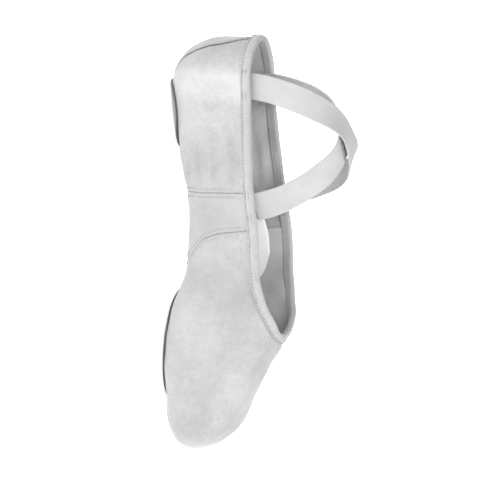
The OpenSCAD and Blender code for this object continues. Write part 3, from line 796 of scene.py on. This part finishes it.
def topline_frames(nose=70, side=120, heel=70):
    """Frames along the left half of the topline, from the throat to the back of the heel.

    They are the points, the outward and upward directions, [station, angle] and its change per mm downwards.
    """
    t = np.linspace(0, 1, nose + 1)[1:]
    y = np.concatenate([
        (THROAT_START + (THROAT_Y - THROAT_START) * np.sin(np.pi / 2 * t[::-1])),
        THROAT_START + (HEEL_Y - THROAT_START) * np.linspace(0, 1, side + 1),
        HEEL_Y + (HEEL_BACK - HEEL_Y) * np.linspace(0, 1, heel + 1)[1:],
    ])
    g = top_angle(y)
    p = face(y, g)
    along = np.gradient(p, axis=0)
    along[0] = [1, 0, 0]
    along[-1] = [-1, 0, 0]
    along = unit(along)
    n = outward(y, g)
    up = unit(np.cross(n, along))
    py = (face(y + 0.2, g) - face(y - 0.2, g)) / 0.4
    pg = (face(y, g + 0.2) - face(y, g - 0.2)) / 0.4
    down = np.stack([(pg * along).sum(-1), -(py * along).sum(-1)], -1)
    step = py * down[:, :1] + pg * down[:, 1:]
    k = np.where((step * up).sum(-1) > 0, -1, 1) / np.linalg.norm(step, axis=-1)
    return p, n, up, np.stack([y, g], -1), down * k[:, None]


TOP = topline_frames()
TOP_Y = TOP[3][:, 0]
TOP_ARC = arc_length(TOP[0])


def edge_points(d, h):
    """Points of one cross-section all along the left half. d and h are stations x section points."""
    p, n, up, yg, down = TOP
    above = p[:, None] + n[:, None] * d[..., None] + up[:, None] * h[..., None]
    q = yg[:, None] - down[:, None] * np.minimum(h, 0)[..., None]
    below = off_face(q[..., 0], np.minimum(q[..., 1], 180), d)
    return np.where((h > 0)[..., None], above, below)


def whole_ring(left, other=None):
    """Closes a left half into a ring. other is the half to mirror, when it isn't the same."""
    right = (left if other is None else other) * np.array([-1, 1, 1])
    return np.concatenate([right, left[-2:0:-1]])


BINDING_T, BINDING_OUT = 0.6, 0.4
BINDING_IN = INSIDE_TOP - 0.1
CORD_D = 1.2
CORD_RISE = CORD_D / 2 + 0.2
CROWN = CORD_RISE + CORD_D / 2 + 0.1
MIDDLE_D = (BINDING_OUT + BINDING_IN) / 2
HALF_GAP = (BINDING_OUT - BINDING_IN) / 2
DEPTH = 3.6
THREAD_H = -DEPTH + 0.75
CROWN_START = 0.3


def same_section(values):
    """The same row of values at every station of the topline."""
    return np.repeat(np.asarray(values, float)[None], len(TOP_ARC), 0)


def crown(half_w, top, angles):
    """Half oval over the cord."""
    return [(MIDDLE_D + half_w * math.cos(a), CROWN_START + (top - CROWN_START) * math.sin(a))
            for a in np.radians(angles)]


def binding_section():
    """Cross-section of the folded tape, its outer and its inner side: two straight legs and a crown."""
    outer = [(BINDING_OUT + BINDING_T, h) for h in np.linspace(-DEPTH, -0.2, 11)]
    outer += crown(HALF_GAP + BINDING_T, CROWN + BINDING_T, np.linspace(0, 180, 17))
    outer += [(BINDING_IN - BINDING_T, h) for h in np.linspace(-0.2, -DEPTH, 9)]
    inner = [(BINDING_IN, h) for h in np.linspace(-DEPTH, -0.2, 7)]
    inner += crown(HALF_GAP, CROWN, np.linspace(180, 0, 11))
    inner += [(BINDING_OUT, h) for h in np.linspace(-0.2, -DEPTH, 7)]
    return np.array(outer), np.array(inner)


outer_section, inner_section = binding_section()


def binding_half(phase):
    """Cross-sections of the tape along the left half, rippled with the given phase."""
    arc = TOP_ARC[:, None]
    d, h = same_section(outer_section[:, 0]), same_section(outer_section[:, 1])
    facing_out = (outer_section[:, 0] > MIDDLE_D)[None]
    low = smooth(0.4, -1.5, h)
    # the stitching pulls the tape in, and the tape ripples beside it
    d = d - 0.32 * np.exp(-((h - THREAD_H) / 0.6) ** 2) * facing_out
    d = d + 0.16 * np.exp(-((h + 0.9) / 1.1) ** 2) * facing_out
    near_throat = np.exp(-(arc / 34) ** 2)
    near_heel = np.exp(-((arc - TOP_ARC[-1]) / 40) ** 2)
    amount = 0.06 + 0.24 * near_throat + 0.08 * near_heel
    ripple = np.sin(arc * 1.9 + phase + 0.8 * np.sin(arc * 0.23)) + 0.5 * np.sin(arc * 3.3 + 2 * phase)
    d = d + amount * ripple * facing_out * low
    h = h + 0.22 * (0.3 + near_throat) * np.sin(arc * 0.33 + phase) * smooth(-1.0, 0.8, h)
    lip = np.exp(-((h + DEPTH) / 0.35) ** 2)
    d = d - 0.22 * lip * facing_out + 0.15 * lip * (1 - facing_out)
    inside = edge_points(same_section(inner_section[:, 0]), same_section(inner_section[:, 1]))
    return np.concatenate([edge_points(d, h), inside], 1)


def topline_row(d, h):
    """Line of points d out and h up from the topline, along the left half."""
    return edge_points(same_section([d]), same_section([h]))[:, 0]


sweep_piece("topline_bound_tape", whole_ring(binding_half(0.0), binding_half(1.3)), BINDING, ring=True)

circle = np.radians(np.arange(0, 360, 30))
cord_outline = edge_points(same_section(MIDDLE_D + CORD_D / 2 * np.cos(circle)),
                           same_section(CORD_RISE + CORD_D / 2 * np.sin(circle)))
sweep_piece("topline_elastic_cord", whole_ring(cord_outline), CORD, ring=True)

THREAD_D = BINDING_OUT + BINDING_T + 0.02
thread_line = topline_row(THREAD_D, THREAD_H)
thread_out = topline_row(THREAD_D + 1, THREAD_H) - thread_line
loop_points = whole_ring(thread_line[:, None])[:, 0]
loop_normals = whole_ring(thread_out[:, None])[:, 0]
loop_points = np.concatenate([loop_points, loop_points[:1]])
loop_normals = np.concatenate([loop_normals, loop_normals[:1]])
STITCH, STITCH_GAP = 1.35, 0.5
stitches("binding_stitches", [(loop_points, loop_normals)], STITCH, STITCH_GAP, radius=0.24, lift=0.05,
         sink=0.35)

# ---- stitching beside the arch seams


def seam_row(seam, shift):
    """Points and normals of one row of stitching, shift mm from a seam."""
    w = np.linspace(-0.95, 0.95, 260)
    y = seam(w) + shift
    g = w * top_angle(y)
    return off_face(y, g, fabric_d(y, g) + 0.12), outward(y, g)


for row_name, arch_seam in (("rear_seam_stitches", rear_seam), ("front_seam_stitches", front_seam)):
    both_rows = [seam_row(arch_seam, shift) for shift in (ROW_OFFSET + 0.25, -ROW_OFFSET - 0.25)]
    stitches(row_name, both_rows, STITCH, STITCH_GAP, radius=0.25, lift=0.12)

# ---- crossed elastics

STRAP_REAR_Y, STRAP_FRONT_Y = 90.0, 22.5
STRAP_INSET, STRAP_TAIL, STRAP_LEAN = 5.4, 6.0, 0.14
ELASTIC_W, ELASTIC_T, RISE = 15.0, 1.1, 51.0
INNER_DROP = 3.0  # the inner band crosses this much lower
HEEL_FULL, ARCH_FULL = (2.1, 0.8), (2.6, 1.1)  # roundness of the bands from the crossing to each end
SWAY, LEFT_LIFT, CROSSING_ROLL = 0.55, 0.006, 0.08
TWIST_SPAN = 17
TAIL_STEPS = 6


def strap_end(y, side):
    """Sewn end of a band: a little inside the topline, on the right for side -1 and the left for side 1."""
    p = face(y, top_angle(y))
    return np.array([side * (p[0] - STRAP_INSET), p[1], p[2]])


HEEL_END, ARCH_END = strap_end(STRAP_REAR_Y, -1), strap_end(STRAP_FRONT_Y, 1)
CROSSING = np.array([0, 59.5 - Y_MID, (HEEL_END[2] + ARCH_END[2]) / 2])


def strap_line(a, rise):
    """Middle line of a band, at a from 0 at its heel end over the crossing at 90 to 180 at its arch end."""
    a = np.asarray(a, float)
    c = np.cos(np.radians(a))
    t = np.abs(c)
    heel = a < 90
    p, q = np.where(heel, HEEL_FULL[0], ARCH_FULL[0]), np.where(heel, HEEL_FULL[1], ARCH_FULL[1])
    up = np.clip(1 - t**p, 0, None) ** q
    end = np.where(heel[..., None], HEEL_END, ARCH_END)
    return CROSSING + (end - CROSSING) * t[..., None] + np.array([0, 0, 1]) * (up * rise)[..., None]


def heelward(y, left):
    """How much nearer the heel a band lies, left mm from the middle on the left."""
    return left * (0.11 + 0.0006 * (CROSSING[1] - y))


def crosswise(a, along, mirrored):
    """Direction across the band: along the foot at its ends, and level where the two bands cross."""
    t = np.abs(np.cos(np.radians(a)))[:, None]
    turn = smooth(1.05, -0.25, t)
    level = unit(np.stack([-along[:, 1], along[:, 0], 0 * a], -1))
    flat = unit(np.cross(along, np.stack([0 * a, -along[:, 2], along[:, 1]], -1)))
    flat = flat * np.sign((flat * level).sum(-1, keepdims=True))
    at_top = smooth(0.42, 0.20, t)
    w = np.array([0, 1, 0]) * (1 - turn) + (level * (1 - at_top) + flat * at_top) * turn
    w = unit(w - along * (w * along).sum(-1, keepdims=True))
    w = w - np.array([0, 0, CROSSING_ROLL]) * (1 - smooth(0, 0.5, t)) * (1 - mirrored)
    # the cloth can't twist sharply: average the crosswise direction along the band
    window = np.hanning(2 * TWIST_SPAN + 1)
    window = window / window.sum()
    w = np.pad(w, ((TWIST_SPAN, TWIST_SPAN), (0, 0)), mode="edge")
    w = np.stack([np.convolve(w[:, k], window, "valid") for k in range(3)], -1)
    return unit(w - along * (w * along).sum(-1, keepdims=True))


def elastic_outline():
    """Cross-section of the band: thin, with thicker rounded selvedges."""
    across = np.linspace(-1, 1, 25)
    half_t = ELASTIC_T / 2 * (0.80 + 0.20 * np.exp(-((np.abs(across) - 0.92) / 0.06) ** 2))
    half_t = half_t * np.sqrt(np.clip(1 - np.abs(across) ** 30, 0.10, 1))
    top = np.stack([across * ELASTIC_W / 2, half_t], -1)
    return np.concatenate([top, top[::-1] * [1, -1]])


def leaning(pts):
    """Both bands lean: lower on the right, and higher and nearer the heel on the left."""
    x, y, height = pts[..., 0], pts[..., 1], pts[..., 2] - CROSSING[2]
    left = np.maximum(0, x)
    h = np.clip(height / RISE, 0, 1)
    front = np.clip((CROSSING[1] - y) / 20, 0, 1)
    back_shift = heelward(y, left) + SWAY * x * h * (1 - h) * front
    lift = (STRAP_LEAN * x + LEFT_LIFT * left**2) * smooth(0, 41, height)
    return pts + np.stack([0 * x, back_shift, lift], -1)


def elastic(name, rise, mirrored, steps=150):
    """Flat woven elastic: a ribbon from the heel over the crossing to the arch, with its sewn tails."""
    a = np.linspace(0, 180, steps + 1)
    p = strap_line(a, rise)
    along = unit(strap_line(np.minimum(180, a + 1), rise) - strap_line(np.maximum(0, a - 1), rise))
    w = crosswise(a, along, mirrored)
    n = unit(np.cross(along, w))
    down = np.linspace(1, 0, TAIL_STEPS, endpoint=False)[:, None] * np.array([0, 0, -STRAP_TAIL])
    p = np.concatenate([p[0] + down, p, p[-1] + down[::-1]])
    w, n = (np.pad(v, ((TAIL_STEPS, TAIL_STEPS), (0, 0)), mode="edge") for v in (w, n))
    outline = elastic_outline()
    wave = 0.10 * np.sin(arc_length(p) * 0.42 + mirrored)[:, None] * outline[None, :, 0] / ELASTIC_W
    thick = (outline[None, :, 1] + wave)[..., None]
    pts = p[:, None] + w[:, None] * outline[None, :, :1] + n[:, None] * thick
    if mirrored:
        pts = (pts * np.array([-1, 1, 1]))[:, ::-1]
    return sweep_piece(name, leaning(pts)[:, ::-1], ELASTIC)


elastic("outer_elastic_band", RISE, 0)
elastic("inner_elastic_band", RISE - INNER_DROP, 1)

TACK_D = BINDING_OUT + BINDING_T + 0.14
TACK_TOP, TACK_LOW, TACK_STAGGER, TACK_FROM_EDGE = -0.2, -2.5, 0.25, 1.2


def tack_stitch(row, side, k):
    """One stitch of a bar tack, k stations along from row. Every other one is a little higher."""
    points, normals = [], []
    for h in (TACK_TOP, TACK_LOW):
        line = topline_row(TACK_D, h + TACK_STAGGER * (k % 2))
        out = topline_row(TACK_D + 1, h) - line
        points.append(line[row + k] * [side, 1, 1])
        normals.append(out[row + k] * [side, 1, 1])
    return np.array(points), np.array(normals)


# bar tacks: a few close stitches at each edge of each sewn end, through the binding
tack_paths = []
for strap_y, sewn_end in ((STRAP_REAR_Y, HEEL_END), (STRAP_FRONT_Y, ARCH_END)):
    for edge in (-1, 1):
        for side in (1, -1):
            shift = heelward(sewn_end[1], abs(sewn_end[0])) if side > 0 else 0
            centre = strap_y + edge * (ELASTIC_W / 2 - TACK_FROM_EDGE) + shift
            nearest = int(np.argmin(np.abs(TOP_Y - centre)))
            tack_paths += [tack_stitch(nearest, side, k) for k in range(-2, 3)]
stitches("elastic_bar_tacks", tack_paths, length=1.9, gap=0.1, radius=0.2, lift=0.08, sink=0.25)

# ---- what each piece stands for and rides on

PIECES = [
    # piece, CAD node, body or the bend that it follows, slot
    ("right_quarter_canvas", "right_quarter", "heel", "outer_fabric"),
    ("left_quarter_canvas", "left_quarter", "heel", "outer_fabric"),
    ("right_quarter_cotton", "right_quarter_lining", "heel", "lining_fabric"),
    ("left_quarter_cotton", "left_quarter_lining", "heel", "lining_fabric"),
    ("back_seam_woven_tape", "back_seam_tape", "heel", "tape"),
    ("heel_suede_patch", "heel_sole_patch", "heel", "suede"),
    ("heel_insole_pad", "heel_insole", "heel", "insole_fabric"),
    ("rear_seam_stitches", "rear_seam_threads", "heel", "thread"),
    ("elastic_bar_tacks", "elastic_bartacks", "arch", "thread"),
    ("vamp_canvas", "vamp", "forefoot", "outer_fabric"),
    ("vamp_cotton", "vamp_lining", "forefoot", "lining_fabric"),
    ("forefoot_suede_patch", "forefoot_sole_patch", "forefoot", "suede"),
    ("forefoot_insole_pad", "forefoot_insole", "forefoot", "insole_fabric"),
    ("arch_stretch_panel", "arch_insert", "arch", "stretch_fabric"),
    ("arch_soft_lining", "arch_lining", "arch", "arch_lining_fabric"),
    ("topline_bound_tape", "topline_binding", "arch", "binding_fabric"),
    ("topline_elastic_cord", "drawcord", "arch", "cord"),
    ("binding_stitches", "binding_thread", "arch", "thread"),
    ("front_seam_stitches", "front_seam_threads", "arch", "thread"),
    ("outer_elastic_band", "outer_elastic", "strap", "elastic"),
    ("inner_elastic_band", "inner_elastic", "strap", "elastic"),
]
for piece, node, body, slot in PIECES:
    obj = made[piece]
    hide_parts(node)
    if body == "arch":
        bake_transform(obj)
    elif body == "strap":
        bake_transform(obj)
    else:
        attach(obj, body)

# ---- floor, light and camera

floor_material = Nodes("pale_floor", Base_Color=(0.93, 0.93, 0.93, 1), Roughness=0.9,
                       Emission_Color=(1, 1, 1, 1), Emission_Strength=0.75)
floor_mesh = bpy.data.meshes.new("floor")
REACH, FLOOR_DROP = 6.0, 0.0004
floor_mesh.from_pydata([(-REACH, -REACH, 0), (REACH, -REACH, 0), (REACH, REACH, 0), (-REACH, REACH, 0)], [],
                       [(0, 1, 2, 3)])
floor_mesh.materials.append(floor_material.material)
floor = bpy.data.objects.new("floor", floor_mesh)
floor.location.z = -FLOOR_DROP
bpy.context.scene.collection.objects.link(floor)

world = bpy.data.worlds.new("studio")
world.use_nodes = True
background = world.node_tree.nodes["Background"]
background.inputs["Color"].default_value = (1, 1, 1, 1)
background.inputs["Strength"].default_value = 0.42
bpy.context.scene.world = world

LIGHTS = [
    # name, energy, size, place
    ("key", 12.0, 0.5, (-1.1, 0.0, 0.82)),
    ("top", 25.0, 0.9, (0.35, -1.0, 1.1)),
    ("strip", 5.5, 0.30, (-1.15, 0.95, 0.40)),
    ("low", 4.0, 0.8, (-1.3, -0.2, 0.12)),
]
LIT_POINT = Vector((0, 0, 0.03))
for light_name, energy, size, place in LIGHTS:
    light = bpy.data.lights.new(light_name, "AREA")
    light.shape, light.size, light.energy = "DISK", size, energy
    lamp = bpy.data.objects.new(light_name, light)
    lamp.location = place
    lamp.rotation_mode = "QUATERNION"
    lamp.rotation_quaternion = (LIT_POINT - Vector(place)).to_track_quat("-Z", "Y")
    bpy.context.scene.collection.objects.link(lamp)

# Camera: above the wearer's right, with the heel at the top of the frame.
ELEVATION, AZIMUTH, ROLL = math.radians(20.7), math.radians(1.87), math.radians(0.45)
DISTANCE, FRAME_HEIGHT, SENSOR = 1.1025, 0.275474, 36
AIM, AIM_LEFT, AIM_UP = Vector((0, 0.00014, 0.04165)), 0.000773, 0.001377
tilt_cos, tilt_sin = math.cos(ELEVATION), math.sin(ELEVATION)
back = Vector((-tilt_cos * math.cos(AZIMUTH), tilt_cos * math.sin(AZIMUTH), tilt_sin))
right = Vector((tilt_sin * math.cos(AZIMUTH), -tilt_sin * math.sin(AZIMUTH), tilt_cos))
up = Vector((math.sin(AZIMUTH), math.cos(AZIMUTH), 0))
right, up = right * math.cos(ROLL) + up * math.sin(ROLL), up * math.cos(ROLL) - right * math.sin(ROLL)
camera_data = bpy.data.cameras.new("camera")
camera_data.sensor_width = SENSOR
camera_data.lens = SENSOR * DISTANCE / FRAME_HEIGHT
camera_data.clip_start, camera_data.clip_end = 0.05, 50
camera = bpy.data.objects.new("camera", camera_data)
camera.matrix_world = Matrix((right, up, back)).transposed().to_4x4()
camera.location = AIM - right * AIM_LEFT + up * AIM_UP + back * DISTANCE
bpy.context.scene.collection.objects.link(camera)
bpy.context.scene.camera = camera
bpy.context.scene.view_settings.view_transform = "Standard"
